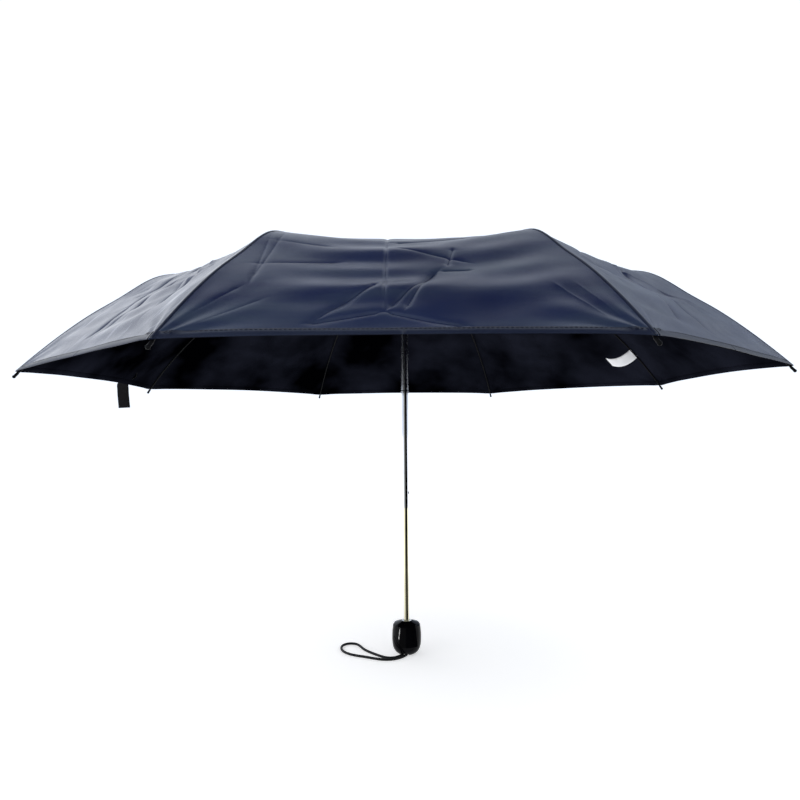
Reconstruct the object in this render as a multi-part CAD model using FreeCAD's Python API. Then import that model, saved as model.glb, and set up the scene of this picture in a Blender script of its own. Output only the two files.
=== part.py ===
# Compact folding umbrella, open: telescopic shaft, eight three-section ribs, sewn canopy.
# Millimetres, +Z up the shaft. Origin: centre of the handle's flat foot.
import FreeCAD, Part
import math
import os

os.makedirs("parts", exist_ok=True)
V = FreeCAD.Vector

# --- driving dimensions ---------------------------------------------------------------------
RIBS = 8                       # ribs and canopy panels round the shaft
STEP = 360.0 / RIBS            # angle from one rib to the next, degrees
HALF = math.radians(STEP / 2)  # half of one panel's angle

FOOT_R, CAP_H = 8.0, 6.0
HANDLE_SIDE = ((8.0, 0.0), (13.4, 1.6), (18.0, 6.6), (20.2, 14.5), (20.7, 23.5), (20.2, 33.0),
               (19.2, 40.4))       # the barrel's outline, foot to rim: radius, z
SHOULDER = (17.4, 42.6)        # where the rim turns in: radius, z
HANDLE_TOP, RECESS_R, RECESS_DEEP = 46.0, 7.0, 6.0
SLOT_W, SLOT_H, SLOT_TURN = 12.4, 4.0, 255.0  # cord slot in the foot, and the way it faces
SLOT_START, SLOT_REACH = -6.0, 19.0           # how far along that way the slot runs
PANEL_HALF, PANEL_Z, PANEL_CORNER = 9.5, (9.0, 38.5), 4.5  # pocket for the front panel
POCKET_DEEP, PANEL_SUNK, PANEL_GAP = 0.9, 0.15, 0.3

LOWER_R, MIDDLE_R, TOP_R, WALL = 3.7, 4.35, 5.0, 0.6
LOWER_END = (8.0, 228.6)       # z of each tube's two ends
MIDDLE_END = (204.8, 389.6)
TOP_END = (369.6, 540.9)
LOW_CATCH, MID_CATCH, RUN_CATCH = (221.6, 227.6), (372.6, 378.6), (452.6, 460.3)
LOW_REACH, MID_REACH, RUN_REACH = 5.3, 6.2, 6.4   # how far out each catch's nose stands
NOSE_HALF, NOSE_LIP, NOSE_FLAT = 1.1, 0.55, 1.5   # half width, step at its foot, flat at its head
NOSE_SIDE, NOSE_END = 0.1, 0.2                    # gaps round a nose in its window

PIVOT = (12.0, 535.6)          # rib pivot in the hub: radius and height
HUB_R, HUB_HALF, HUB_SLOT_R = 14.2, 3.5, 9.2
HUB_PIN_R, RUNNER_PIN_R = 0.7, 0.6
RUNNER = (8.5, 472.6)          # stretcher pivot in the runner
TOP_LEN, MID_LEN = 159.0, 160.0
TOP_TILT, MID_TILT = 2.4, 7.5  # how far the open sections slope down, degrees
LIFT = 2.6                     # height of the inner joint's axis above the rib, and of the
                               # knee's axis below it
ARM = 56.0                     # hub pivot to stretcher rivet
TIP = (484.0, 381.4)           # rib tip: radius and height
BOW = 8.5                      # how far the sprung end of a rib bows
ROD_START, ROD_END = 1.0, 7.0  # the rod starts and stops this far inside its knee and its tip
SLEEVE_R, SLEEVE_LEN, BALL_R, BALL_OUT = 1.6, 5.5, 1.9, 6.2

RIB_W, RIB_H, SHEET = 3.6, 3.0, 0.5
ROD_R, EYE_R, RIVET_R = 1.1, 1.5, 0.8
SIDE = 2.4                     # stretchers lie this far beside their rib's mid plane

CLOTH = 0.5
SAG, SCALLOP = 9.0, 0.016      # panel's dip at the knee, and share its hem is cut back
SAG_R, SAG_FADE = 330.0, 155.0  # the dip is deepest at this radius, and fades over this much more
SKIN, SKIN_TIP = 2.6, 3.3      # cloth's face above the rod's centre, and at its end
STRAP_WIDE, STRAP_AT = 20.0, -0.52
LABEL_DROP, LABEL_THICK = 1.7, 0.4
CORD_R = 1.75


# --- small tools ------------------------------------------------------------------------------
def save(name, *solids):
    shape = solids[0] if len(solids) == 1 else Part.makeCompound(list(solids))
    shape.exportStep("parts/%s.step" % name)


def ring(r_out, r_in, z0, z1):
    body = Part.makeCylinder(r_out, z1 - z0, V(0, 0, z0))
    return body.cut(Part.makeCylinder(r_in, z1 - z0, V(0, 0, z0))) if r_in else body


def block(x0, x1, y0, y1, z0, z1):
    return Part.makeBox(x1 - x0, y1 - y0, z1 - z0, V(x0, y0, z0))


def across(r, y0, y1, x, z):
    """A round pin that lies along Y at (x, z)."""
    return Part.makeCylinder(r, y1 - y0, V(x, y0, z), V(0, 1, 0))


def tilted(shape, tilt, x, z):
    """Slope a piece drawn along +X down by tilt degrees, then put its start at (x, z)."""
    turned = shape.copy()
    turned.rotate(V(0, 0, 0), V(0, 1, 0), tilt)
    turned.translate(V(x, 0, z))
    return turned


def round_shaft(shape, degrees):
    turned = shape.copy()
    turned.rotate(V(0, 0, 0), V(0, 0, 1), degrees)
    return turned


def lathe(points):
    """Solid of revolution from (radius, z) points."""
    wire = Part.makePolygon([V(r, 0, z) for r, z in points] + [V(points[0][0], 0, points[0][1])])
    return Part.Face(wire).revolve(V(0, 0, 0), V(0, 0, 1), 360)


# --- handle -------------------------------------------------------------------------------------
def barrel(inset):
    """The handle's outer shape, drawn in by inset all round."""
    side = Part.BSplineCurve()
    side.interpolate([V(r - inset, 0, z) for r, z in HANDLE_SIDE])
    (r0, z0), (r1, z1) = HANDLE_SIDE[0], HANDLE_SIDE[-1]
    rim = [V(r1 - inset, 0, z1), V(SHOULDER[0], 0, SHOULDER[1]), V(RECESS_R, 0, HANDLE_TOP),
           V(0, 0, HANDLE_TOP), V(0, 0, z0), V(r0 - inset, 0, z0)]
    wire = Part.Wire([side.toShape()] + [Part.makeLine(p, q) for p, q in zip(rim, rim[1:])])
    return Part.Face(wire).revolve(V(0, 0, 0), V(0, 0, 1), 360)


def front_block(gap):
    """A round-cornered block through the barrel's front, drawn in by gap at its edges."""
    half = PANEL_HALF - gap
    front = block(-half, half, -30.0, -5.0, PANEL_Z[0] + gap, PANEL_Z[1] - gap)
    return front.makeFillet(PANEL_CORNER - gap, [e for e in front.Edges if e.BoundBox.YLength > 5])


def cord_slot(start):
    slot = block(start, SLOT_REACH, -SLOT_W / 2, SLOT_W / 2, -1, SLOT_H)
    return round_shaft(slot, SLOT_TURN)


def handle():
    funnel = Part.makeCone(LOWER_R, RECESS_R, RECESS_DEEP, V(0, 0, HANDLE_TOP - RECESS_DEEP))
    socket = Part.makeCylinder(LOWER_R, HANDLE_TOP, V(0, 0, LOWER_END[0]))
    foot = Part.makeCylinder(FOOT_R, CAP_H)
    core = barrel(POCKET_DEEP)
    body = barrel(0.0).cut(funnel).cut(socket).cut(foot).cut(front_block(0.0).cut(core))
    cap = foot.makeFillet(0.6, [e for e in foot.Edges if e.BoundBox.ZMax < 1e-6])
    save("handle_shell", body.cut(cord_slot(0.0)))
    save("handle_front_panel", front_block(PANEL_GAP).common(barrel(PANEL_SUNK)).cut(core))
    save("handle_end_cap", cap.cut(cord_slot(SLOT_START)))


# --- shaft --------------------------------------------------------------------------------------
def catch(r_in, r_out, z0, z1):
    """A leaf catch's nose: a wedge that stands out of a tube on its +X side."""
    outline = ((r_in, z0), (r_in + NOSE_LIP, z0), (r_out, z1 - NOSE_FLAT), (r_out, z1), (r_in, z1),
               (r_in, z0))
    side = Part.Face(Part.makePolygon([V(r, -NOSE_HALF, z) for r, z in outline]))
    return side.extrude(V(0, 2 * NOSE_HALF, 0))


def window(z0, z1):
    """The hole in a tube's +X side that a catch stands in."""
    half = NOSE_HALF + NOSE_SIDE
    return block(LOWER_R / 2, 2 * LOWER_R, -half, half, z0 - NOSE_END, z1 + NOSE_END)


def shaft():
    middle = ring(MIDDLE_R, MIDDLE_R - WALL, *MIDDLE_END)
    top = ring(TOP_R, TOP_R - WALL, *TOP_END)
    foot = TOP_END[0] - 1.0
    collar = lathe([(TOP_R, foot), (TOP_R + 0.9, foot), (TOP_R + 0.9, foot + 2.5),
                    (TOP_R + 0.5, foot + 4.0), (TOP_R + 0.5, foot + 12.5), (TOP_R, foot + 13.3)])
    save("lower_tube", ring(LOWER_R, LOWER_R - WALL, *LOWER_END).cut(window(*LOW_CATCH)))
    save("lower_tube_catch", catch(LOWER_R - WALL, LOW_REACH, *LOW_CATCH))
    save("middle_tube", middle.cut(window(*LOW_CATCH)).cut(window(*MID_CATCH)))
    save("middle_tube_catch", catch(MIDDLE_R - WALL, MID_REACH, *MID_CATCH))
    save("top_tube", top.cut(window(*MID_CATCH)).cut(window(*RUN_CATCH)))
    save("top_tube_collar", collar.cut(window(*MID_CATCH)))
    save("runner_catch", catch(TOP_R - WALL + 0.05, RUN_REACH, *RUN_CATCH))


# --- hub and runner -------------------------------------------------------------------------------
def hub():
    r, z = PIVOT
    body = ring(HUB_R, TOP_R, z - HUB_HALF, z + HUB_HALF)
    pins = []
    for k in range(RIBS):
        turn = STEP * (k + 0.5)
        body = body.cut(round_shaft(block(HUB_SLOT_R, 20, -1.0, 1.0, z - 5, z + 5), turn))
        pin = round_shaft(across(HUB_PIN_R, -2.6, 2.6, r, z), turn)
        body = body.cut(pin)
        pins.append(pin)
    save("top_notch", body)
    save("top_notch_pins", *pins)
    save("cap_washer", ring(11.0, TOP_R, z + 4.6, z + 5.3))
    dome = [(0, z + 2.0), (TOP_R - WALL, z + 2.0), (TOP_R - WALL, z + 5.3), (8.6, z + 5.3),
            (8.6, z + 7.5), (7.4, z + 10.5), (4.6, z + 14.0), (2.6, z + 15.6), (0, z + 16.2)]
    save("ferrule_cap", lathe(dome))


def runner():
    r, z = RUNNER
    body = lathe([(TOP_R + 0.05, z - 12.0), (9.4, z - 12.0), (9.4, z - 9.5), (7.6, z - 8.0),
                  (7.6, z - 4.0), (10.0, z - 3.2), (10.0, z + 2.5), (TOP_R + 0.05, z + 2.5)])
    pins = []
    for k in range(RIBS):
        turn = STEP * (k + 0.5)
        body = body.cut(round_shaft(block(6.6, 15, SIDE - 0.1, SIDE + 0.9, z - 2.0, z + 5), turn))
        pin = round_shaft(across(RUNNER_PIN_R, 1.2, 4.6, r, z), turn)
        body = body.cut(pin)
        pins.append(pin)
    save("runner", body)
    save("runner_pins", *pins)


# --- ribs -------------------------------------------------------------------------------------------
def channel(x0, x1):
    """Folded steel channel, open below, centred on the X axis."""
    w, h = RIB_W / 2, RIB_H / 2
    outer = block(x0, x1, -w, w, -h, h)
    return outer.cut(block(x0, x1, -w + SHEET, w - SHEET, -h, h - SHEET))


def ears(x, z):
    """Two cheeks that carry a joint's axis at (x, z) beside the end of a channel."""
    w, h = RIB_W / 2, RIB_H / 2
    low, high = (-h, z) if z > 0 else (z, h)
    cheeks = block(x - 6, x, -w, w, low, high).fuse(across(EYE_R, -w, w, x, z))
    gap = block(x - 7, x + 3, -w + SHEET, w - SHEET, low - 3, high + 3)
    return cheeks.cut(gap).cut(across(RIVET_R, -w, w, x, z))


def tongue(z, reach):
    """The single lug that turns between two ears, with its eye at (0, z)."""
    half = RIB_W / 2 - SHEET - 0.2
    low, high = min(z, -1.2), max(z, 1.0)
    lug = block(-1.2, reach, -half, half, low, high).fuse(across(EYE_R, -half, half, 0, z))
    return lug.cut(across(RIVET_R + 0.05, -half, half, 0, z))


def top_rib():
    eye = block(0, 8, -0.9, 0.9, -1.2, 1.0).fuse(across(EYE_R, -0.9, 0.9, 0, 0))
    eye = eye.cut(across(HUB_PIN_R + 0.05, -0.9, 0.9, 0, 0))
    end = TOP_LEN
    body = channel(5.0, end - 2.4).fuse([eye, ears(end, LIFT)]).removeSplitter()
    joint = across(RIVET_R, -RIB_W / 2 - 0.3, RIB_W / 2 + 0.3, end, LIFT)
    stud = across(RIVET_R, RIB_W / 2, SIDE - 0.1, ARM, 0)
    place = (TOP_TILT, PIVOT[0], PIVOT[1])
    return [tilted(p, *place) for p in (body, joint, stud)]


def inner_axis():
    a = math.radians(TOP_TILT)
    return (PIVOT[0] + TOP_LEN * math.cos(a) + LIFT * math.sin(a),
            PIVOT[1] - TOP_LEN * math.sin(a) + LIFT * math.cos(a))


def middle_start():
    x, z = inner_axis()
    b = math.radians(MID_TILT)
    return x - LIFT * math.sin(b), z - LIFT * math.cos(b)


def knee_axis():
    x, z = middle_start()
    b = math.radians(MID_TILT)
    return (x + MID_LEN * math.cos(b) - LIFT * math.sin(b),
            z - MID_LEN * math.sin(b) - LIFT * math.cos(b))


def middle_rib():
    end = MID_LEN
    body = channel(3.4, end - 2.4).fuse([tongue(LIFT, 7.0), ears(end, -LIFT)]).removeSplitter()
    joint = across(RIVET_R, -RIB_W / 2 - 0.3, RIB_W / 2 + 0.3, end, -LIFT)
    return [tilted(p, MID_TILT, *middle_start()) for p in (body, joint)]


def rod_arc():
    """The sprung rod's centre line: knee axis, middle of the bow, tip."""
    (x0, z0), (x1, z1) = knee_axis(), TIP
    length = math.hypot(x1 - x0, z1 - z0)
    nx, nz = (z0 - z1) / length, (x1 - x0) / length
    return V(x0, 0, z0), V((x0 + x1) / 2 + BOW * nx, 0, (z0 + z1) / 2 + BOW * nz), V(x1, 0, z1)


def outer_rib():
    arc = Part.Arc(*rod_arc())
    first, last = arc.FirstParameter, arc.LastParameter
    span = last - first
    whole = arc.length()
    lead, trim = first + span * ROD_START / whole, last - span * ROD_END / whole
    edge = arc.toShape(lead, trim)
    start, heading = arc.value(lead), arc.tangent(lead)[0]
    if heading.x < 0:
        heading = heading * -1
    profile = Part.Wire(Part.makeCircle(ROD_R, start, heading))
    rod = Part.Wire(edge).makePipeShell([profile], True, False)
    half = RIB_W / 2 - SHEET - 0.2
    knee = arc.value(first)
    eye = across(EYE_R, -half, half, knee.x, knee.z)
    body = rod.fuse(eye).cut(across(RIVET_R + 0.05, -half, half, knee.x, knee.z))
    end, out = arc.value(trim), arc.tangent(last)[0]
    if out.x < 0:
        out = out * -1
    sleeve = Part.makeCylinder(SLEEVE_R, SLEEVE_LEN, end + out * 0.1, out)
    ball = Part.makeSphere(BALL_R, end + out * BALL_OUT)
    return [body, sleeve.fuse(ball)]


def stretcher():
    x0, z0 = RUNNER
    a = math.radians(TOP_TILT)
    x1, z1 = PIVOT[0] + ARM * math.cos(a), PIVOT[1] - ARM * math.sin(a)
    length = math.hypot(x1 - x0, z1 - z0)
    y0, y1 = SIDE, SIDE + 0.8
    bar = block(0, length, y0, y1, -1.4, 1.4)
    bar = bar.fuse([across(EYE_R, y0, y1, 0, 0), across(EYE_R, y0, y1, length, 0)])
    bar = bar.cut(across(RUNNER_PIN_R + 0.05, y0, y1, 0, 0)).cut(across(RIVET_R + 0.05, y0, y1, length, 0))
    return tilted(bar.removeSplitter(), -math.degrees(math.atan2(z1 - z0, x1 - x0)), x0, z0)


def ribs():
    top, middle, outer, arm = top_rib(), middle_rib(), outer_rib(), stretcher()
    for k in range(RIBS):
        turn = STEP * (k + 0.5)
        save("top_rib_%d" % (k + 1), *[round_shaft(p, turn) for p in top])
        save("middle_rib_%d" % (k + 1), *[round_shaft(p, turn) for p in middle])
        save("outer_rib_%d" % (k + 1), *[round_shaft(p, turn) for p in outer])
        save("stretcher_%d" % (k + 1), round_shaft(arm, turn))


# --- canopy -----------------------------------------------------------------------------------------
def seam():
    """The canopy's outer face over a rib, as evenly spaced points from crown to hem."""
    above = ((6.0, 4.6), (14.0, 4.5), (60.0, 2.9), (120.0, 0.6), (171.0, -1.7), (230.0, -9.8),
             (290.0, -18.4), (330.0, -24.8))
    points = [V(r, 0, PIVOT[1] + rise) for r, rise in above]
    arc = Part.Arc(*rod_arc())
    first, last = arc.FirstParameter, arc.LastParameter
    centre = arc.toShape().Curve.Center
    for part in (0.24, 0.42, 0.60, 0.78, 0.97):
        p = arc.value(first + (last - first) * part)
        out = (p - centre).normalize()
        points.append(p + out * (SKIN if part < 0.9 else SKIN_TIP))
    curve = Part.BSplineCurve()
    curve.interpolate(points)
    return curve.discretize(Number=241)


def cloth_point(line, s, v):
    """A point of the panel that faces +X; s runs crown to hem, v from rib (-1) to rib (1)."""
    bulge = 1 - v * v
    at = s * (1 - SCALLOP * bulge) * (len(line) - 1)
    low = min(int(at), len(line) - 2)
    p = line[low] + (line[low + 1] - line[low]) * (at - low)
    r = p.x
    sag = SAG * (r / SAG_R) ** 1.5 if r < SAG_R else SAG * (1 - 0.75 * (r - SAG_R) / SAG_FADE)
    return V(r * math.cos(HALF), v * r * math.sin(HALF), p.z - sag * bulge)


def patch(line, s_range, v_range, lift, thick, rows=41, columns=11):
    grid = []
    for i in range(rows):
        s = s_range[0] + (s_range[1] - s_range[0]) * i / (rows - 1)
        row = []
        for j in range(columns):
            v = v_range[0] + (v_range[1] - v_range[0]) * j / (columns - 1)
            row.append(cloth_point(line, s, v) + V(0, 0, lift))
        grid.append(row)
    surface = Part.BSplineSurface()
    surface.interpolate(grid)
    return Part.Face(surface).extrude(V(0, 0, -thick))


def strap(line):
    """Tie strap: sewn to the outside of the panel that faces -X, its end hanging free."""
    run = [cloth_point(line, s, STRAP_AT) for s in (0.885, 0.925, 0.965, 0.995)]
    run = [(p.x + 1.4, p.z + 1.4) for p in run]
    x, z = run[-1]
    run += [(x + 2.0, z - 5.0), (x + 2.3, z - 20.0), (x + 1.6, z - 41.0)]
    outside = [V(px + 0.9, 0, pz + 0.35) for px, pz in run]
    inside = [V(px, 0, pz) for px, pz in run]
    loop = inside + outside[::-1] + inside[:1]
    middle = STRAP_AT * (TIP[0] - 6.0) * math.sin(HALF)
    face = Part.Face(Part.makePolygon(loop))
    solid = face.extrude(V(0, STRAP_WIDE, 0))
    solid.translate(V(0, middle - STRAP_WIDE / 2, 0))
    return round_shaft(solid, 180)


def canopy():
    line = seam()
    panel = patch(line, (0.0, 1.0), (-1.0, 1.0), 0.0, CLOTH)
    for k in range(RIBS):
        save("canopy_panel_%d" % (k + 1), round_shaft(panel, STEP * k))
    save("tie_strap", strap(line))
    label = patch(line, (0.872, 0.918), (-0.95, -0.68), -LABEL_DROP, LABEL_THICK, 5, 5)
    save("care_label", round_shaft(label, STEP))


# --- wrist cord ---------------------------------------------------------------------------------------
CORD = [(1.2, -0.8), (0.9, -8.6), (-2.4, -16.6), (-9.0, -23.2), (-17.0, -28.2), (-26.5, -30.2),
        (-37.0, -28.4), (-47.5, -24.0), (-58.0, -19.0), (-68.5, -15.0), (-78.8, -9.6),
        (-87.6, -2.0), (-93.0, 7.6), (-95.0, 17.6), (-93.4, 27.6), (-85.8, 34.2), (-75.6, 33.2),
        (-68.8, 25.4), (-64.4, 15.2), (-58.2, 5.2), (-50.2, -3.6), (-41.8, -12.2), (-33.0, -19.8),
        (-24.2, -24.0), (-15.4, -22.0), (-8.6, -16.2), (-4.4, -8.4), (-3.4, -0.6)]


def cord():
    points = [V(x, y, CORD_R) for x, y in CORD]
    edges, here, radii = [], points[0], []
    for before, corner, after in zip(points, points[1:], points[2:]):
        a, b = corner - before, after - corner
        la, lb = a.Length, b.Length
        a.normalize()
        b.normalize()
        turn = a.getAngle(b)
        cut = 0.45 * min(la, lb)
        radii.append(cut / math.tan(turn / 2))
        start, end = corner - a * cut, corner + b * cut
        inward = (b - a).normalize()
        mid = corner + inward * (radii[-1] / math.cos(turn / 2) - radii[-1])
        edges += [Part.makeLine(here, start), Part.Arc(start, mid, end).toShape()]
        here = end
    edges.append(Part.makeLine(here, points[-1]))
    path = Part.Wire(edges)
    print("cord length %.1f, smallest radius %.1f" % (path.Length, min(radii)))
    print("cord radii", [round(r, 1) for r in radii])
    ring_wire = Part.Wire(Part.makeCircle(CORD_R, points[0], points[1] - points[0]))
    tube = path.makePipeShell([ring_wire], True, False)
    print("cord volume check %.4f" % (tube.Volume / (math.pi * CORD_R ** 2 * path.Length)))
    save("wrist_cord", tube)


handle()
shaft()
hub()
runner()
ribs()
canopy()
cord()
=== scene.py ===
# Folding umbrella: the looks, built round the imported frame. Metres, +Z up the shaft.
import math
import random

import bpy
import numpy as np
from mathutils import Matrix, Vector


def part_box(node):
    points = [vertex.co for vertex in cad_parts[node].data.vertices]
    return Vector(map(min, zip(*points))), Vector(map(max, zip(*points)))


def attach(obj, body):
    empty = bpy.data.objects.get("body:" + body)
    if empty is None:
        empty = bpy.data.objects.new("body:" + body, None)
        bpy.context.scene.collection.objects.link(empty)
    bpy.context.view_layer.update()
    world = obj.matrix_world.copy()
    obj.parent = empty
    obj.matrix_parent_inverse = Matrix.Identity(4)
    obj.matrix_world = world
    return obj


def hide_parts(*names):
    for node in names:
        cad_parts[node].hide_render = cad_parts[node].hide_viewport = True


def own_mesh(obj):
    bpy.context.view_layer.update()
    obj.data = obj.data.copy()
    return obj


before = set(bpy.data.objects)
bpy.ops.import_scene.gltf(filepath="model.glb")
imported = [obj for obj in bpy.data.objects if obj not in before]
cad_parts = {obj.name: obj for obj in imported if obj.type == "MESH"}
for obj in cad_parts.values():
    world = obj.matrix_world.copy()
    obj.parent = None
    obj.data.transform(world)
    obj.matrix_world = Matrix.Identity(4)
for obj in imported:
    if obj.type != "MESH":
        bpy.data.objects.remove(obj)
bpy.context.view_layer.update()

RIBS = 8
STEP = math.radians(360 / RIBS)
HALF = STEP / 2
FRONT = 7                                 # the panel that faces -Y
LEFT = 5                                  # the panel that faces -X
RUBBED = 6                                # the panel with pale marks, between those two
RIGHT = 8                                 # the panel right of the front


# --- camera, lights and floor -------------------------------------------------------------------
CAMERA_AT = (0.0011, -0.8938, 0.3257)
PITCH = math.radians(2.117)
ROLL = math.radians(-0.435)
LENS = 27.9522
SENSOR = 36.0
SHIFT_X = -0.007075

SKY = (0.84, 0.90, 1.0)
SKY_STRENGTH = 1.2
FLOOR_REACH = 14.0
FLOOR_COLOUR = (0.95, 0.92, 0.88)
FLOOR_GLOW = 0.48

# strips beside the handle, as name, start, end and width along one bearing
GLINT_TURN = math.radians(33)
GLINT_POWER = 290.0                       # watts for each square metre
GLINT_HEIGHT = 0.004
GLINTS = (("glint_near", 0.085, 0.20, 0.0075), ("glint_middle", 0.20, 0.42, 0.018),
          ("glint_far", 0.42, 0.80, 0.026))

# profiles of the cards that only reflections see, as radius and height
CARD_STEPS = 24
FLOOR_AND_WALL = ((0.035, 0.002), (0.30, 0.002), (2.2, 0.002), (2.2, 1.3))
OVERHEAD = ((0.0, 2.6), (0.7, 2.6))
CEILING = ((0.7, 2.6), (3.0, 2.6))
SIDE_WALL = ((2.4, 0.4), (2.4, 2.2))
CARDS = (("card_black", -6, 78, FLOOR_AND_WALL, (0.0, 0.0, 0.0)),
         ("card_olive", -52, -6, FLOOR_AND_WALL, (0.30, 0.30, 0.27)),
         ("card_overhead", -180, 180, OVERHEAD, (0.03, 0.04, 0.06)),
         ("card_ceiling", -95, 95, CEILING, (0.03, 0.04, 0.06)),
         ("card_right", 118, 172, SIDE_WALL, (0.42, 0.48, 0.60)))


def add_object(name, data):
    obj = bpy.data.objects.new(name, data)
    bpy.context.scene.collection.objects.link(obj)
    return obj


def make_camera():
    data = bpy.data.cameras.new("camera")
    data.sensor_width = SENSOR
    data.lens = LENS
    data.shift_x = SHIFT_X
    data.clip_start = 0.01
    data.clip_end = 50
    cam = add_object("camera", data)
    turn = Matrix.Rotation(math.pi / 2 + PITCH, 4, "X") @ Matrix.Rotation(ROLL, 4, "Z")
    cam.matrix_world = Matrix.Translation(CAMERA_AT) @ turn
    bpy.context.scene.camera = cam


def area_light(name, at, look, power, width, height):
    data = bpy.data.lights.new(name, "AREA")
    data.shape = "RECTANGLE"
    data.size = width
    data.size_y = height
    data.energy = power
    lamp = add_object(name, data)
    aim = (Vector(look) - Vector(at)).to_track_quat("-Z", "Y")
    lamp.location = at
    lamp.rotation_euler = aim.to_euler()
    return lamp


def glint_light(name, start, end, width, lit):
    """A strip just above the floor, from start to end along its bearing, that lights only lit."""
    middle = (start + end) / 2
    at = (-middle * math.cos(GLINT_TURN), -middle * math.sin(GLINT_TURN), GLINT_HEIGHT)
    lamp = area_light(name, at, (at[0], at[1], 1.0), GLINT_POWER * (end - start) * width,
                      end - start, width)
    lamp.rotation_euler = (math.pi, 0, GLINT_TURN)
    lamp.visible_camera = False
    lamp.light_linking.receiver_collection = lit


def reflect_card(name, start, end, profile, colour):
    """Something only reflections see: the dark core of the tubes and the dim ceiling over the cloth.

    Its profile is swept round the shaft between two angles, measured in degrees from -Y towards +X.
    """
    verts = []
    for i in range(CARD_STEPS + 1):
        turn = math.radians(start + (end - start) * i / CARD_STEPS)
        verts += [(r * math.sin(turn), -r * math.cos(turn), z) for r, z in profile]
    mesh = bpy.data.meshes.new(name)
    mesh.from_pydata(verts, [], grid_faces(CARD_STEPS + 1, len(profile)))
    card = add_object(name, mesh)
    mesh.materials.append(material(name, (0, 0, 0), 1.0, Specular_IOR_Level=0.0,
                                   Emission_Color=(*colour, 1), Emission_Strength=1.0))
    card.visible_camera = False
    card.visible_diffuse = False
    card.visible_shadow = False
    card.visible_transmission = False


def make_world():
    world = bpy.data.worlds.new("studio")
    bpy.context.scene.world = world
    world.use_nodes = True
    back = world.node_tree.nodes["Background"]
    back.inputs["Color"].default_value = (*SKY, 1)
    back.inputs["Strength"].default_value = SKY_STRENGTH
    bpy.context.scene.view_settings.view_transform = "Standard"


def make_floor():
    mesh = bpy.data.meshes.new("floor")
    corners = [(x * FLOOR_REACH, y * FLOOR_REACH, 0) for x, y in ((-1, -1), (1, -1), (1, 1), (-1, 1))]
    mesh.from_pydata(corners, [], [(0, 1, 2, 3)])
    mesh.materials.append(material("floor", FLOOR_COLOUR, 1.0, Specular_IOR_Level=0.0,
                                   Emission_Color=(1, 1, 1, 1), Emission_Strength=FLOOR_GLOW))
    add_object("floor", mesh)


def make_stage():
    make_world()
    make_floor()
    area_light("key_left", (-1.6, -1.0, 1.5), (-0.1, 0, 0.45), 6, 0.8, 0.8)
    area_light("rim_left", (-1.5, 1.5, 1.25), (-0.2, -0.2, 0.45), 4, 1.3, 1.0)
    lit = bpy.data.collections.new("glint_lit")
    for name in ("handle_shell", "handle_front_panel"):
        lit.objects.link(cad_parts[name])
    for glint in GLINTS:
        glint_light(*glint, lit)
    for card in CARDS:
        reflect_card(*card)


# --- materials ----------------------------------------------------------------------------------
NAVY_DARK = (0.003, 0.006, 0.036)
NAVY_LIGHT = (0.010, 0.016, 0.052)
CLOTH_SHEEN = (0.72, 0.83, 1.0, 1.0)      # tint of the cloth's highlights
THREADS = 900.0                           # weave waves over a metre of cloth
WEAVE_HEIGHT = 0.0002
GRAIN_HEIGHT = 0.0001


def shader_of(mat):
    return mat.node_tree.nodes["Principled BSDF"]


def material(name, colour, roughness=0.5, metallic=0.0, **sockets):
    mat = bpy.data.materials.new(name)
    mat.use_nodes = True
    shader = shader_of(mat)
    shader.inputs["Base Color"].default_value = (*colour, 1)
    shader.inputs["Roughness"].default_value = roughness
    shader.inputs["Metallic"].default_value = metallic
    for key, value in sockets.items():
        shader.inputs[key.replace("_", " ")].default_value = value
    return mat


def node(mat, kind, **values):
    made = mat.node_tree.nodes.new(kind)
    for key, value in values.items():
        if key in made.inputs:
            made.inputs[key].default_value = value
        else:
            setattr(made, key, value)
    return made


def link(mat, a, out, b, into):
    mat.node_tree.links.new(a.outputs[out], b.inputs[into])


def brighter(colour, times):
    return tuple(times * c for c in colour)


def tone_ramp(mat, texture, start, end, dark, light):
    """Dark where the texture is below start, light where it is above end."""
    ramp = node(mat, "ShaderNodeValToRGB")
    low, high = ramp.color_ramp.elements
    low.position = start
    high.position = end
    low.color = (*dark, 1)
    high.color = (*light, 1)
    link(mat, texture, "Fac", ramp, "Fac")
    return ramp


def noise_in(mat, coordinates, **values):
    """Noise in the coordinates that the output of this name gives."""
    coord = node(mat, "ShaderNodeTexCoord")
    noise = node(mat, "ShaderNodeTexNoise", **values)
    link(mat, coord, coordinates, noise, "Vector")
    return noise


def stretched_noise(mat, coordinates, scale, **values):
    """Noise with its own scale along each axis."""
    coord = node(mat, "ShaderNodeTexCoord")
    stretch = node(mat, "ShaderNodeMapping", Scale=scale)
    noise = node(mat, "ShaderNodeTexNoise", Scale=1.0, **values)
    link(mat, coord, coordinates, stretch, "Vector")
    link(mat, stretch, "Vector", noise, "Vector")
    return noise


def vary_colour(mat, dark, light, scale):
    """Colour drifts between two tones over the surface."""
    noise = noise_in(mat, "Object", Scale=scale, Detail=3.0)
    ramp = tone_ramp(mat, noise, 0.35, 0.68, dark, light)
    link(mat, ramp, "Color", shader_of(mat), "Base Color")


def bump(mat, texture, strength, height, out="Fac"):
    raised = node(mat, "ShaderNodeBump", Strength=strength, Distance=height)
    link(mat, texture, out, raised, "Height")
    link(mat, raised, "Normal", shader_of(mat), "Normal")


def vary_gloss(mat, texture, low, high):
    """Roughness follows the texture between low and high."""
    span = node(mat, "ShaderNodeMapRange")
    span.inputs["To Min"].default_value = low
    span.inputs["To Max"].default_value = high
    link(mat, texture, "Fac", span, "Value")
    link(mat, span, "Result", shader_of(mat), "Roughness")


def rough_noise(mat, low, high, scale):
    noise = noise_in(mat, "Object", Scale=scale, Detail=4.0)
    vary_gloss(mat, noise, low, high)
    return noise


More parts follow.
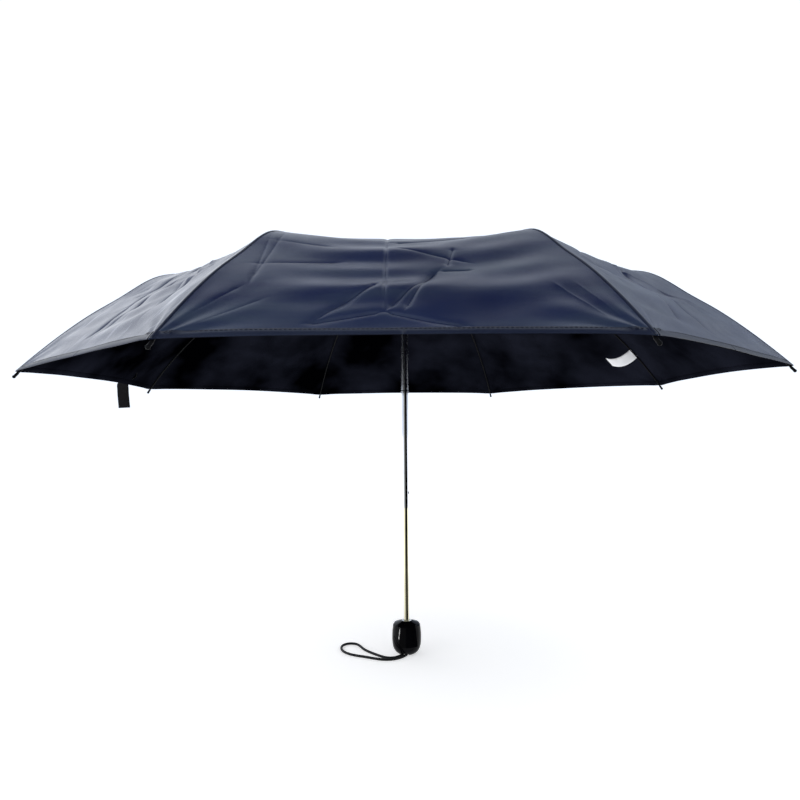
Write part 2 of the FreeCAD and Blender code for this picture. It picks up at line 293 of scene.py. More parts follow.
def cloth_material(name, dark, light, roughness, threads=THREADS, weave=0.12, **sockets):
    """Close plain weave: two crossed fine waves in the sheet's own UVs."""
    mat = material(name, dark, roughness, **sockets)
    vary_colour(mat, dark, light, 9.0)
    coord = node(mat, "ShaderNodeTexCoord")
    warp = node(mat, "ShaderNodeTexWave", Scale=threads, Distortion=0.4)
    weft = node(mat, "ShaderNodeTexWave", Scale=threads, Distortion=0.4, bands_direction="Y")
    both = node(mat, "ShaderNodeMath", operation="MULTIPLY")
    for place, wave in enumerate((warp, weft)):
        link(mat, coord, "UV", wave, "Vector")
        link(mat, wave, "Fac", both, place)
    bump(mat, both, weave, WEAVE_HEIGHT, "Value")
    return mat


def canopy_material(name, streak_colour, streak_from, streak_scale):
    """Navy polyester: soft bands of tone from the folds it was packed in, and paler rubbed streaks."""
    mat = cloth_material(name, NAVY_DARK, NAVY_LIGHT, 0.42,
                         Specular_IOR_Level=0.62, Specular_Tint=CLOTH_SHEEN)
    shader = shader_of(mat)
    base = shader.inputs["Base Color"].links[0].from_socket
    streak = stretched_noise(mat, "UV", (*streak_scale, 1.0), Detail=5.0, Roughness=0.62, Distortion=0.6)
    ramp = tone_ramp(mat, streak, streak_from, streak_from + 0.3, (0, 0, 0), (1, 1, 1))
    mix = node(mat, "ShaderNodeMixRGB", blend_type="MIX")
    mix.inputs["Color2"].default_value = (*streak_colour, 1)
    link(mat, ramp, "Color", mix, "Fac")
    mat.node_tree.links.new(base, mix.inputs["Color1"])
    link(mat, mix, "Color", shader, "Base Color")
    rough_noise(mat, 0.22, 0.50, 24)
    return mat


def braid_material(name, colour):
    """Short strands packed side by side."""
    mat = material(name, colour, 0.62, Specular_IOR_Level=0.3)
    coord = node(mat, "ShaderNodeTexCoord")
    cells = node(mat, "ShaderNodeTexVoronoi", Scale=1100.0)
    link(mat, coord, "Object", cells, "Vector")
    bump(mat, cells, 0.7, 0.0004, "Distance")
    vary_colour(mat, colour, brighter(colour, 2.2), 500)
    return mat


def brushed(name, colour, low, high, grain):
    """Drawn tube or strip: a fine grain along the length, and drifting gloss."""
    mat = material(name, colour, low, 1.0)
    noise = stretched_noise(mat, "Object", (grain, grain, grain / 40), Detail=4.0)
    vary_gloss(mat, noise, low, high)
    bump(mat, noise, 0.05, GRAIN_HEIGHT)
    vary_colour(mat, brighter(colour, 0.86), colour, 30)
    return mat


def moulded(name, colour, low, high, grain, **sockets):
    """Moulded plastic: a fine skin texture and a slight change of gloss."""
    mat = material(name, colour, low, **sockets)
    bump(mat, rough_noise(mat, low, high, grain), 0.06, GRAIN_HEIGHT)
    vary_colour(mat, colour, brighter(colour, 1.35), 35)
    return mat


def make_materials():
    m = {}
    m["outer"] = canopy_material("canopy_outer", (0.024, 0.036, 0.056), 0.46, (5.0, 26.0))
    m["rubbed"] = canopy_material("canopy_rubbed", (0.46, 0.47, 0.50), 0.585, (52.0, 14.0))
    # painted shade: the underside of the same navy cloth gets a far darker colour and no specular, standing
    # in for the shade under the canopy
    m["inner"] = cloth_material("canopy_underside_painted_shade", (0.0002, 0.0002, 0.0005), (0.009, 0.010, 0.016), 0.9,
                                Specular_IOR_Level=0.0)
    m["hem"] = cloth_material("canopy_hem", (0.004, 0.006, 0.020), (0.010, 0.014, 0.032), 0.45,
                              Specular_IOR_Level=0.30, Specular_Tint=CLOTH_SHEEN)
    m["thread"] = moulded("seam_thread", (0.010, 0.012, 0.024), 0.6, 0.75, 900)
    m["strap"] = cloth_material("strap_webbing", (0.002, 0.002, 0.0025), (0.005, 0.005, 0.006), 0.85,
                                threads=420.0, weave=0.5, Specular_IOR_Level=0.15)
    m["label"] = cloth_material("label_satin", (0.86, 0.86, 0.86), (0.95, 0.95, 0.95), 0.5, threads=600.0)
    m["chrome"] = brushed("chrome", (0.72, 0.74, 0.78), 0.05, 0.11, 700)
    m["satin"] = brushed("satin_steel", (0.58, 0.60, 0.64), 0.18, 0.26, 700)
    m["lining"] = brushed("bright_lining", (0.90, 0.91, 0.93), 0.35, 0.5, 700)
    m["gold"] = brushed("pale_gold", (0.84, 0.80, 0.60), 0.05, 0.11, 700)
    m["rib"] = brushed("rib_steel", (0.05, 0.05, 0.055), 0.4, 0.55, 500)
    m["rod"] = moulded("rib_lacquer", (0.004, 0.004, 0.0045), 0.4, 0.55, 500, Specular_IOR_Level=0.05)
    m["rivet"] = brushed("rivet_steel", (0.25, 0.25, 0.27), 0.3, 0.45, 900)
    m["plastic"] = moulded("black_plastic", (0.006, 0.006, 0.007), 0.4, 0.55, 400,
                           Specular_IOR_Level=0.25)
    m["gloss"] = moulded("gloss_black", (0.0012, 0.0012, 0.0016), 0.05, 0.08, 60,
                         Specular_IOR_Level=0.075)
    m["foot"] = moulded("grey_plastic", (0.16, 0.16, 0.165), 0.45, 0.6, 300)
    m["cord"] = braid_material("cord_braid", (0.0022, 0.0022, 0.0026))
    return m


# --- mesh helpers -------------------------------------------------------------------------------
def add_piece(name, verts, faces, mats, body):
    mesh = bpy.data.meshes.new(name)
    mesh.from_pydata([tuple(v) for v in verts], [], faces)
    for mat in mats:
        mesh.materials.append(mat)
    mesh.polygons.foreach_set("use_smooth", [True] * len(mesh.polygons))
    mesh.update()
    obj = add_object(name, mesh)
    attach(obj, body)
    return obj


def grid_faces(rows, cols, start=0, flip=False, closed=False):
    """Faces of a grid of points; closed joins its last column to its first."""
    faces = []
    for i in range(rows - 1):
        for j in range(cols if closed else cols - 1):
            a = start + i * cols + j
            b = start + i * cols + (j + 1) % cols
            c = b + cols
            d = a + cols
            faces.append((a, d, c, b) if flip else (a, b, c, d))
    return faces


def tube_faces(rows, ring, start=0):
    """Faces of a bar whose section has ring points, with both ends closed."""
    last = start + (rows - 1) * ring
    ends = [tuple(range(start, start + ring)), tuple(reversed(range(last, last + ring)))]
    return grid_faces(rows, ring, start, closed=True) + ends


def set_uv(mesh, by_vertex):
    loops = np.zeros(len(mesh.loops), int)
    mesh.loops.foreach_get("vertex_index", loops)
    mesh.uv_layers.new(name="UVMap").data.foreach_set("uv", by_vertex[loops].ravel())


def unit(vectors):
    return vectors / np.linalg.norm(vectors, axis=-1, keepdims=True)


# --- the canopy's surface -----------------------------------------------------------------------
SAG = 0.009                               # the panel's middle hangs this far below its ribs at the knee
SCALLOP = 0.016                           # share of the seam by which the hem's middle is cut back
KNEE_R = 0.330
HEM_RUN = 0.155                           # from the knee to the hem, seen from above
PROFILE_STEPS = 600
PROFILE_BLUR = 31
SHARES = np.linspace(0, 1, PROFILE_STEPS)
ON_SEAM = 2e-4                            # radians within which a point lies on the seam
SAME_RADIUS = 2e-5


def seam_edge():
    """The CAD panel's outer face along its seam: radii and heights."""
    co = np.array([v.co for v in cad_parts["canopy_panel_1"].data.vertices])
    turn = np.arctan2(co[:, 1], co[:, 0])
    edge = co[np.abs(turn - HALF) < ON_SEAM]
    r = np.hypot(edge[:, 0], edge[:, 1])
    radii = np.unique(np.round(r, 5))
    heights = [edge[np.abs(r - radius) < SAME_RADIUS, 2].max() for radius in radii]
    return radii, np.array(heights)


def seam_profile():
    """Radius and height over a rib in even steps along its arc, with the knees eased, and its length."""
    radii, heights = seam_edge()
    r = np.linspace(radii[0], radii[-1], PROFILE_STEPS)
    z = np.interp(r, radii, heights)
    reach = PROFILE_BLUR // 2
    before = 2 * z[0] - z[reach:0:-1]
    after = 2 * z[-1] - z[-2:-reach - 2:-1]
    kernel = np.hanning(PROFILE_BLUR)
    z = np.convolve(np.concatenate([before, z, after]), kernel / kernel.sum(), "valid")
    arc = np.concatenate([[0], np.cumsum(np.hypot(np.diff(r), np.diff(z)))])
    even = np.linspace(0, arc[-1], PROFILE_STEPS)
    return np.interp(even, arc, r), np.interp(even, arc, z), arc[-1]


PROFILE_R, PROFILE_Z, SEAM_LENGTH = seam_profile()


def share_at(radius):
    return float(np.interp(radius, PROFILE_R, SHARES))


def radius_at(s):
    return np.interp(s, SHARES, PROFILE_R)


def half_width(s):
    return radius_at(s) * math.sin(HALF)


# creases, as t0, s0, t1, s1, depth and width: t across the panel in metres, s from crown to hem
FRONT_CREASES = [
    (-0.016, 0.400, -0.015, 0.940, -0.0014, 0.0019), (-0.015, 0.940, -0.075, 0.970, -0.0030, 0.0024),
    (-0.016, 0.940, 0.050, 0.980, -0.0027, 0.0024), (-0.018, 0.850, -0.070, 0.965, -0.0024, 0.0029),
    (0.032, 0.790, -0.015, 0.940, -0.0026, 0.0024), (0.068, 0.600, -0.014, 0.660, -0.0025, 0.0052),
    (0.026, 0.800, 0.000, 0.940, -0.0020, 0.0021), (-0.124, 0.620, -0.125, 0.850, -0.0022, 0.0019),
    (-0.112, 0.620, -0.125, 0.850, -0.0019, 0.0019), (-0.129, 0.860, -0.172, 0.965, -0.0016, 0.0023),
    (-0.108, 0.900, -0.160, 0.975, -0.0009, 0.0026), (0.031, 0.800, 0.060, 0.800, -0.0010, 0.0019),
    (0.045, 0.710, 0.038, 0.780, -0.0021, 0.0021), (0.120, 0.860, 0.155, 0.960, 0.0011, 0.0026),
    (0.138, 0.860, 0.166, 0.965, 0.0010, 0.0020), (0.034, 0.550, 0.110, 0.640, -0.0012, 0.0022),
    (-0.010, 0.700, 0.060, 0.770, -0.0010, 0.0022), (0.150, 0.700, 0.172, 0.930, -0.0012, 0.0026),
    (-0.150, 0.660, -0.060, 0.700, -0.0010, 0.0026), (-0.140, 0.780, -0.050, 0.760, -0.0012, 0.0028),
]
RIGHT_CREASES = [(-0.120, 0.62, -0.155, 0.86, -0.0026, 0.0030), (-0.020, 0.66, 0.110, 0.86, 0.0022, 0.0036),
                 (0.020, 0.62, -0.060, 0.95, -0.0020, 0.0030)]
RUBBED_CREASES = [(-0.060, 0.58, -0.020, 0.95, -0.0026, 0.0032), (0.060, 0.66, 0.100, 0.93, -0.0024, 0.0034),
                  (0.010, 0.62, 0.080, 0.80, 0.0012, 0.0040)]
CREASE_FULL = 0.38                        # share of its length, each side of its middle, at full depth
CREASE_FADE = 0.2                         # share over which each end then fades


def slanting_crease(rng, middle):
    """A short crease that leaves the neighbourhood of the middle fold towards the hem."""
    side = rng.choice((-1, 1))
    s = rng.uniform(0.60, 0.86)
    t = middle + side * rng.uniform(0.0, 0.09)
    end_t = t + side * rng.uniform(0.01, 0.05)
    end_s = s + rng.uniform(0.05, 0.13)
    depth = -rng.uniform(0.0006, 0.0017)
    width = rng.uniform(0.003, 0.006)
    return (t, s, end_t, end_s, depth, width)


def panel_creases():
    """Each panel keeps the marks of being folded: a line down its middle and slanting ones to it."""
    rng = random.Random(11)
    table = {}
    for panel in range(1, RIBS + 1):
        middle = 0.006 * rng.uniform(-1, 1)
        lines = [(middle, 0.32, middle + 0.004, 0.95, -0.0024, 0.0032)]
        lines += [slanting_crease(rng, middle) for _ in range(7)]
        for side in (-1, 1):
            lines.append((side * 0.122, 0.64, side * 0.130, 0.80 + 0.05 * rng.random(), -0.0020, 0.0040))
        table[panel] = lines
    table[FRONT] = FRONT_CREASES
    table[RIGHT] += RIGHT_CREASES
    table[RUBBED] += RUBBED_CREASES
    return table


CREASES = panel_creases()


def crease_depth(panel, s, t):
    """Sharp-bottomed valleys, and ridges where the depth is positive, along the panel's creases."""
    total = np.zeros_like(t)
    y = s * SEAM_LENGTH
    for t0, s0, t1, s1, depth, width in CREASES[panel]:
        dx = t1 - t0
        dy = (s1 - s0) * SEAM_LENGTH
        length = math.hypot(dx, dy)
        from_t = t - t0
        from_y = y - s0 * SEAM_LENGTH
        along = (from_t * dx + from_y * dy) / length ** 2
        off = (from_t * dy - from_y * dx) / length
        past = np.clip(np.abs(along - 0.5) - CREASE_FULL, 0, None)
        ends = np.clip(1 - past / CREASE_FADE, 0, 1)
        total += depth * ends ** 2 * np.exp(-np.abs(off) / width)
    return total


PLEAT_HIGH = 0.0011
PLEAT_REACH = 0.06
PLEAT_START = 0.02


def tension(s, v, t):
    """Small pleats that run out of each tip and die away along the hem."""
    out = np.zeros_like(s)
    corner = np.sin(HALF) * PROFILE_R[-1]
    for side in (-1, 1):
        dx = side * corner - t
        dy = (1 - s) * SEAM_LENGTH + 1e-4
        dist = np.hypot(dx, dy)
        angle = np.arctan2(np.abs(dx), dy)
        fade = np.exp(-dist / PLEAT_REACH) * np.clip(dist / PLEAT_START, 0, 1) * (1 - np.abs(v) ** 24)
        out += PLEAT_HIGH * fade * np.sin(angle * 13 + 0.6)
    return out


BROAD_HIGH = 0.0021
FINE_HIGH = 0.0012


def ripples(panel, s, v):
    """Slack bands across the panel, bowed towards the tips, which start below the crown."""
    bowed = s + 0.05 * v * v
    phase = 1.7 * panel
    broad = BROAD_HIGH * np.sin(38 * bowed + phase) * (0.6 + 0.4 * np.cos(2.6 * v + phase))
    fine = FINE_HIGH * np.sin(83 * bowed + 2.3 * v + 2 * phase) * np.cos(3.1 * v - phase)
    from_crown = np.clip(3.2 * s - 1.1, 0, 1)
    to_hem = 1 - 0.6 * np.clip(12 * s - 11, 0, 1)
    return (broad + fine) * from_crown * to_hem


def surface(panel, s, v):
    """World points of panel (1-8) at crown-to-hem share s and rib-to-rib place v (-1 to 1)."""
    s, v = np.broadcast_arrays(np.asarray(s, float), np.asarray(v, float))
    bulge = 1 - v * v
    at = s * (1 - SCALLOP * bulge * np.clip(s * 3 - 1, 0, 1))
    r = radius_at(at)
    z = np.interp(at, SHARES, PROFILE_Z)
    sag_in = SAG * (r / KNEE_R) ** 1.5
    sag_out = SAG * (1 - 0.75 * (r - KNEE_R) / HEM_RUN)
    sag = np.where(r < KNEE_R, sag_in, sag_out)
    t = v * r * math.sin(HALF)
    lift = crease_depth(panel, s, t) * bulge + tension(s, v, t) + ripples(panel, s, v) * bulge
    lean = np.clip((s - 0.5) * 2.2, 0, 0.7)
    x = r * math.cos(HALF) + lift * lean
    z = z - sag * bulge + lift * np.sqrt(1 - lean ** 2)
    turn = (panel - 1) * STEP
    return np.stack([x * math.cos(turn) - t * math.sin(turn),
                     x * math.sin(turn) + t * math.cos(turn), z], -1)


def surface_normal(panel, s, v, step=2e-3):
    """Outward normals: the cross product of the slopes along s and v."""
    d_s = surface(panel, s + step, v) - surface(panel, s - step, v)
    d_v = surface(panel, s, v + step * 2) - surface(panel, s, v - step * 2)
    n = np.cross(d_s, d_v)
    n /= np.linalg.norm(n, axis=-1, keepdims=True) + 1e-12
    return n * np.sign(n[..., 2:3] + 1e-9)


# --- canopy cloth -------------------------------------------------------------------------------
CLOTH = 0.0004
SEGMENTS = (("inner", "top_rib"), ("middle", "middle_rib"), ("outer", "outer_rib"))
FOLDS = (share_at(0.171), share_at(0.3295))    # where a rib's sections hinge, as shares of the seam
ROWS = {"inner": 44, "middle": 60, "outer": 90}
COLS = {"inner": 32, "middle": 50, "outer": 66}
FINE = 2.3                                # closer grid beside the creased front panel
UV_APART = 0.7                            # between panels, so that their marks differ


def next_panel(rib):
    """Rib n lies between panel n and this one."""
    return rib % RIBS + 1


def squash_cloth(obj, rib, s):
    """Gives the piece its own copy of its mesh; the point at share s on the rib is worked out but not used.
    """
    anchor = surface(rib, s, np.array([1.0]))[0]
    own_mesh(obj)


def cloth_grid(rib, s, v_before, v_after):
    """Points and normals over a rib, from mid panel to mid panel."""
    after = next_panel(rib)
    points = np.concatenate([surface(rib, s, v_before), surface(after, s, v_after)], 1)
    n_before = surface_normal(rib, s, v_before)
    n_after = surface_normal(after, s, v_after)
    normals = np.concatenate([n_before, n_after], 1)
    # on the seam both panels share one normal
    shared = n_before[:, -1] + surface_normal(after, s, np.array([[-1.0]]))[:, 0]
    normals[:, n_before.shape[1] - 1] = unit(shared)
    return points, normals


def rim_faces(rows, cols):
    """Faces that join the edge of a grid to that of its copy, which follows it."""
    ring = [(0, j) for j in range(cols)]
    ring += [(i, cols - 1) for i in range(1, rows)]
    ring += [(rows - 1, j) for j in range(cols - 2, -1, -1)]
    ring += [(i, 0) for i in range(rows - 2, 0, -1)]
    edge = [i * cols + j for i, j in ring]
    under = rows * cols
    return [(a, b, b + under, a + under) for a, b in zip(edge, edge[1:] + edge[:1])]


def cloth_uv(rib, s, v_before, v_after):
    """Metres across and along the cloth, for one side of it."""
    across = np.concatenate([v_before, v_after], 1)
    panels = np.concatenate([np.full(v_before.shape, rib), np.full(v_after.shape, next_panel(rib))], 1)
    u = across * radius_at(s) * math.sin(HALF) + UV_APART * panels
    return np.stack([u, np.broadcast_to(s * SEAM_LENGTH, u.shape)], -1).reshape(-1, 2)


def canopy_piece(rib, label, s0, s1, body, m):
    """Cloth over one stretch of a rib, from mid panel to mid panel."""
    fine = FINE if FRONT in (rib, rib + 1) else 1.0
    rows = int(ROWS[label] * fine)
    half_cols = int(COLS[label] * fine)
    cols = 2 * half_cols - 1
    s = np.linspace(s0, s1, rows)[:, None]
    v_before = np.linspace(0, 1, half_cols)[None]
    v_after = np.linspace(-1, 0, half_cols)[None, 1:]
    points, normals = cloth_grid(rib, s, v_before, v_after)
    outside = points.reshape(-1, 3)
    inside = (points - normals * CLOTH).reshape(-1, 3)
    top = grid_faces(rows, cols, flip=True)
    under = grid_faces(rows, cols, rows * cols)
    rim = rim_faces(rows, cols)
    obj = add_piece("canopy_%s_%d" % (label, rib), np.concatenate([outside, inside]), top + under + rim,
                    (m["outer"], m["inner"], m["rubbed"]), body)
    mesh = obj.data
    before = 2 if rib == RUBBED else 0
    after = 2 if next_panel(rib) == RUBBED else 0
    row = [before] * (half_cols - 1) + [after] * (half_cols - 1)
    # the under faces (material 1) take the painted-shade underside colour
    mesh.polygons.foreach_set("material_index", row * (rows - 1) + [1] * len(under) + [0] * len(rim))
    set_uv(mesh, np.tile(cloth_uv(rib, s, v_before, v_after), (2, 1)))
    flat_normals = normals.reshape(-1, 3)
    both_sides = np.concatenate([flat_normals, -flat_normals])
    mesh.normals_split_custom_set_from_vertices([tuple(n) for n in both_sides])
    squash_cloth(obj, rib, (s0 + s1) / 2)
    return obj


def make_canopy(m):
    cuts = [0.0, *FOLDS, 1.0]
    for rib in range(1, RIBS + 1):
        for i, (label, body) in enumerate(SEGMENTS):
            obj = canopy_piece(rib, label, cuts[i], cuts[i + 1], "%s_%d" % (body, rib), m)
            if label == "outer":
                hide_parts("canopy_panel_%d" % rib)


# --- seams, hem and stitches --------------------------------------------------------------------
SEAM_HALF = 0.0024
SEAM_PROUD = 0.0004
SEAM_START = share_at(0.016)
SEAM_END = 0.9995
HEM_DEEP = 0.0085
HEM_PROUD = 0.00055
HEM_SPAN = HEM_DEEP / SEAM_LENGTH
HEM_COLS = 60
STITCH = 0.0024
STITCH_GAP = 0.0036
STITCH_HALF = 0.00016
STITCH_HIGH = 0.00020
STITCH_DEEP = 0.0004


def seam_piece(rib, label, s0, s1, body, m):
    """The felled seam over a rib: a flat ridge of doubled cloth."""
    rows = ROWS[label]
    s = np.linspace(s0, s1, rows)
    share = np.clip(SEAM_HALF / half_width(s), 0, 0.45)
    crest = surface(rib, s, np.ones(rows))
    feet = []
    shoulders = []
    for panel, edge in ((rib, 1), (next_panel(rib), -1)):
        foot = edge * (1 - share)
        shoulder = edge * (1 - 0.8 * share)
        n = surface_normal(panel, s, foot)
        feet.append(surface(panel, s, foot) - n * 0.0001)
        shoulders.append(surface(panel, s, shoulder) + n * SEAM_PROUD * 0.8)
    up = np.array([0, 0, 1.0]) * SEAM_PROUD
    ring = [feet[0], shoulders[0], crest + up, shoulders[1], feet[1], crest - up * 0.4]
    points = np.stack(ring, 1).reshape(-1, 3)
    return add_piece("seam_%s_%d" % (label, rib), points, tube_faces(rows, len(ring)), (m["hem"],), body)


# section of the turned-up edge, as share of the seam and height over the cloth
HEM_SECTION = ((1 - HEM_SPAN, HEM_PROUD), (1 - HEM_SPAN / 2, HEM_PROUD * 1.15), (1.0, HEM_PROUD), (1.0012, 0),
               (1.0, -HEM_PROUD - CLOTH), (1 - HEM_SPAN / 2, -HEM_PROUD * 1.15 - CLOTH),
               (1 - HEM_SPAN, -HEM_PROUD - CLOTH), (1 - HEM_SPAN * 1.04, -CLOTH / 2))
HEM_INSIDE = (3, 4, 5, 6)                 # the sides of that section which face under the canopy


def hem_points(panel, v):
    """The hem's section carried along the panel's edge, as one array of points by place and ring."""
    past_edge = (surface(panel, 1.0, v) - surface(panel, 0.998, v)) / 0.002
    rings = []
    for s, lift in HEM_SECTION:
        n = surface_normal(panel, min(s, 0.996), v)
        rings.append(surface(panel, min(s, 1.0), v) + n * lift + past_edge * max(s - 1, 0))
    return np.stack(rings, 1)


def hem_piece(rib, m):
    """The turned-up edge round one rib tip, from mid panel to mid panel, with its line of stitches."""
    ring = len(HEM_SECTION)
    # the sides under the canopy (material 2) take the painted-shade underside colour
    side = [2 if i in HEM_INSIDE else 0 for i in range(ring)]
    verts = []
    faces = []
    index = []
    for panel, v0, v1 in ((rib, 0.0, 0.985), (next_panel(rib), -0.985, 0.0)):
        points = hem_points(panel, np.linspace(v0, v1, HEM_COLS))
        faces += tube_faces(HEM_COLS, ring, len(verts))
        verts += list(points.reshape(-1, 3))
        index += side * (HEM_COLS - 1) + [0, 0]
        stitch_verts, stitch_faces = stitches(panel, v0, v1, 1 - 0.8 * HEM_SPAN, HEM_PROUD * 1.2)
        base = len(verts)
        faces += [tuple(base + i for i in face) for face in stitch_faces]
        verts += stitch_verts
        index += [1] * len(stitch_faces)
    obj = add_piece("hem_%d" % rib, verts, faces, (m["hem"], m["thread"], m["inner"]),
                    "outer_rib_%d" % rib)
    obj.data.polygons.foreach_set("material_index", index)
    squash_cloth(obj, rib, 0.99)


def stitches(panel, v0, v1, s, lift):
    """Short raised threads in a row along the panel at share s."""
    reach = float(half_width(s))
    count = int(abs(v1 - v0) * reach / STITCH_GAP)
    verts = []
    faces = []
    for i in range(count):
        a = v0 + (v1 - v0) * (i + 0.2) / count
        b = a + STITCH / reach
        places = np.array([a, (a + b) / 2, b])
        thread = surface(panel, s, places)
        normals = surface_normal(panel, s, places)
        down = unit(surface(panel, s + 0.002, np.array([a]))[0] - thread[0])
        base = len(verts)
        for at, n, raised in zip(thread, normals, (0.0, STITCH_HIGH, 0.0)):
            top = at + n * (lift + raised)
            verts += [top - down * STITCH_HALF, top + down * STITCH_HALF, top - n * STITCH_DEEP]
        for start in (base, base + 3):
            for k in range(3):
                p = start + k
                q = start + (k + 1) % 3
                faces.append((p, q, q + 3, p + 3))
        faces += [(base + 2, base + 1, base), (base + 6, base + 7, base + 8)]
    return verts, faces


def make_seams(m):
    cuts = [SEAM_START, *FOLDS, SEAM_END]
    for rib in range(1, RIBS + 1):
        for i, (label, body) in enumerate(SEGMENTS):
            seam_piece(rib, label, cuts[i], cuts[i + 1], "%s_%d" % (body, rib), m)
        hem_piece(rib, m)


# --- strap, label and cord ----------------------------------------------------------------------
RIBBON_COLS = 9
EDGE_THIN = 0.35                          # share of its thickness that a ribbon loses at its edges


def ribbon(name, centre, across, thick, mat, rib):
    """A closed flat band along the centre points, as wide as the across vectors, sewn to a rib's cloth."""
    rows = len(centre)
    n = unit(np.cross(across, np.gradient(centre, axis=0)))
    place = np.linspace(-1, 1, RIBBON_COLS)
    edge = thick / 2 * (1 - EDGE_THIN * np.abs(place) ** 8)
    flat = centre[:, None] + across[:, None] * place[None, :, None] / 2
    rise = n[:, None] * edge[None, :, None]
    ring = np.concatenate([flat + rise, (flat - rise)[:, ::-1]], 1)
    count = ring.shape[1]
    obj = add_piece(name, ring.reshape(-1, 3), tube_faces(rows, count), (mat,), "outer_rib_%d" % rib)
    along = np.concatenate([[0], np.cumsum(np.linalg.norm(np.diff(centre, axis=0), axis=1))])
    width = float(np.linalg.norm(across[0]))
    u = np.broadcast_to(np.concatenate([place, place[::-1]]) * width / 2, (rows, count))
    v = np.broadcast_to(along[:, None], (rows, count))
    set_uv(obj.data, np.stack([u, v], -1).reshape(-1, 2))
    return obj


def smooth_run(points, count):
    """Smooth run of count places along the given points (Catmull-Rom)."""
    p = np.array([points[0], *points, points[-1]], float)
    where = np.linspace(0, len(points) - 1 - 1e-9, count)
    i = where.astype(int)
    f = (where - i)[:, None]
    a, b, c, d = p[i], p[i + 1], p[i + 2], p[i + 3]
    square = (2 * a - 5 * b + 4 * c - d) * f ** 2
    cube = (3 * b - a - 3 * c + d) * f ** 3
    return 0.5 * (2 * b + (c - a) * f + square + cube)


STRAP_RIB = 4
STRAP_THICK = 0.0008
STRAP_TWIST = math.radians(80)
STRAP_ROWS = 60
SEWN_OVER = 0.0014                        # height of the sewn stretch over the cloth
SEWN_AT = (0.885, 0.93, 0.97)             # shares of the seam beside which it is sewn


def strap_line(low, width, v):
    """The strap's centre: three places sewn outside the panel that faces -X, then its fall to low."""
    place = np.array([v])
    sewn = [surface(LEFT, s, place)[0] + surface_normal(LEFT, s, place)[0] * SEWN_OVER for s in SEWN_AT]
    edge = surface(LEFT, 1.0, place)[0]
    drop = edge[2] - low
    away = width * 0.42 * math.sin(STRAP_TWIST)
    falls = ((-away, 0.004), (-away - 0.001, -0.25 * drop), (-away, -0.6 * drop),
             (-away + 0.0015, -0.985 * drop))
    hung = [edge + np.array((x, 0, z)) for x, z in falls]
    return smooth_run(sewn + hung, STRAP_ROWS), sewn[1][2], edge[2]


def make_strap(m):
    """Tie strap: sewn flat outside the panel that faces -X, then it hangs and turns to the front."""
    low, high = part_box("tie_strap")
    middle = (low[1] + high[1]) / 2
    width = high[1] - low[1]
    v = middle / float(half_width(0.93)) * -1
    centre, start, edge = strap_line(low[2], width, v)
    fall = np.clip((start - centre[:, 2]) / (start - edge), 0, 1)
    turn = STRAP_TWIST * fall * fall * (3 - 2 * fall)
    across = np.stack([-np.sin(turn), np.cos(turn), 0.04 * np.sin(3 * turn)], 1) * width
    strap = ribbon("tie_strap_webbing", centre, across, STRAP_THICK, m["strap"], STRAP_RIB)
    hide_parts("tie_strap")
    squash_cloth(strap, STRAP_RIB, 0.93)


LABEL_RIB = 1
LABEL_WIDE = 0.020
LABEL_THICK = 0.0003
LABEL_AT = 0.845                          # share of the seam
LABEL_BELOW = 0.0015
LABEL_ROWS = 40
LABEL_FALLS = ((0, 0, 0), (-0.010, 0.000, -0.0085), (-0.021, 0.001, -0.0145), (-0.032, 0.002, -0.0165),
               (-0.042, 0.003, -0.0150))


def make_label(m):
    """Blank care label, sewn by its short edge into a seam; the rest hangs and curls."""
    seam = surface(LABEL_RIB, np.array([LABEL_AT - 0.01, LABEL_AT + 0.01]), np.array([1.0, 1.0]))
    start = seam.mean(0) - np.array((0, 0, LABEL_BELOW))
    centre = smooth_run([start + np.array(fall) for fall in LABEL_FALLS], LABEL_ROWS)
    across = np.broadcast_to(unit(seam[1] - seam[0]) * LABEL_WIDE, (LABEL_ROWS, 3))
    label = ribbon("care_label_satin", centre, across, LABEL_THICK, m["label"], LABEL_RIB)
    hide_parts("care_label")
    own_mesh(label)


# the cord's route over the floor, from the slot in the foot and back to it
CORD_THICK = 0.0035
CORD = [(0.0012, -0.0008), (0.0009, -0.0086), (-0.0024, -0.0166), (-0.0090, -0.0232), (-0.0170, -0.0282),
        (-0.0265, -0.0302), (-0.0370, -0.0284), (-0.0475, -0.0240), (-0.0580, -0.0190), (-0.0685, -0.0150),
        (-0.0788, -0.0096), (-0.0876, -0.0020), (-0.0930, 0.0076), (-0.0950, 0.0176), (-0.0934, 0.0276),
        (-0.0858, 0.0342), (-0.0756, 0.0332), (-0.0688, 0.0254), (-0.0644, 0.0152), (-0.0582, 0.0052),
        (-0.0502, -0.0036), (-0.0418, -0.0122), (-0.0330, -0.0198), (-0.0242, -0.0240), (-0.0154, -0.0220),
        (-0.0086, -0.0162), (-0.0044, -0.0084), (-0.0034, -0.0006)]


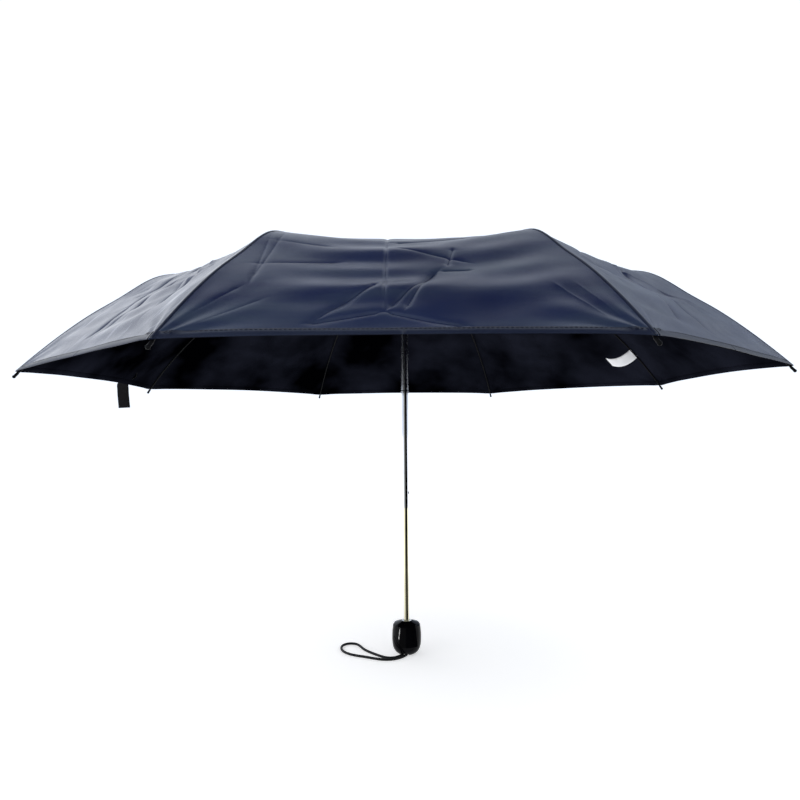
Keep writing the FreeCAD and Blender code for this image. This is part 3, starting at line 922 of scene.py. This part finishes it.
def make_cord(m):
    curve = bpy.data.curves.new("wrist_cord_braid", "CURVE")
    curve.dimensions = "3D"
    spline = curve.splines.new("NURBS")
    spline.points.add(len(CORD) - 1)
    for point, (x, y) in zip(spline.points, CORD):
        point.co = (x, y, CORD_THICK / 2, 1)
    spline.order_u = 3
    spline.use_endpoint_u = True
    curve.bevel_depth = CORD_THICK / 2
    curve.bevel_resolution = 6
    curve.resolution_u = 10
    curve.use_fill_caps = True
    curve.materials.append(m["cord"])
    cord = add_object("wrist_cord_braid", curve)
    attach(cord, "handle")
    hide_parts("wrist_cord")


# --- the CAD nodes that stay --------------------------------------------------------------------
PAINT = {"top_tube": "satin", "top_tube_collar": "satin", "middle_tube": "chrome", "lower_tube": "gold",
         "lower_tube_catch": "rivet", "middle_tube_catch": "rivet", "runner_catch": "rivet",
         "runner": "plastic", "runner_pins": "rivet", "top_notch": "plastic", "top_notch_pins": "rivet",
         "cap_washer": "plastic", "ferrule_cap": "plastic", "handle_shell": "gloss",
         "handle_front_panel": "gloss", "handle_end_cap": "foot", "tie_strap": "strap",
         "care_label": "label", "wrist_cord": "cord"}
SHARP_ANGLE = math.radians(30)
FUNNEL_R = 0.0071
FUNNEL_DEEP = 0.0061


def paint_nodes(m):
    for name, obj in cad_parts.items():
        kind = PAINT.get(name) or ("rod" if name.startswith("outer_rib") else "rib")
        mesh = obj.data
        mesh.materials.clear()
        mesh.materials.append(m[kind])
        mesh.polygons.foreach_set("use_smooth", [True] * len(mesh.polygons))
        mesh.set_sharp_from_angle(angle=SHARP_ANGLE)


def line_recess(m):
    """The funnel round the shaft in the handle's top is bright."""
    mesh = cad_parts["handle_shell"].data
    mesh.materials.append(m["lining"])
    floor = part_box("handle_shell")[1][2] - FUNNEL_DEEP
    for face in mesh.polygons:
        x, y, z = face.center
        if math.hypot(x, y) < FUNNEL_R and z > floor and face.normal.z > 0.1:
            face.material_index = 1


def press_catches():
    """Gives each catch its own copy of its mesh."""
    for catch, joint in (("lower_tube_catch", "lower_slide"), ("middle_tube_catch", "upper_slide")):
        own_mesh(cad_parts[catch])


make_camera()
make_stage()
materials = make_materials()
make_cord(materials)
make_canopy(materials)
make_seams(materials)
make_strap(materials)
make_label(materials)
paint_nodes(materials)
line_recess(materials)
press_catches()
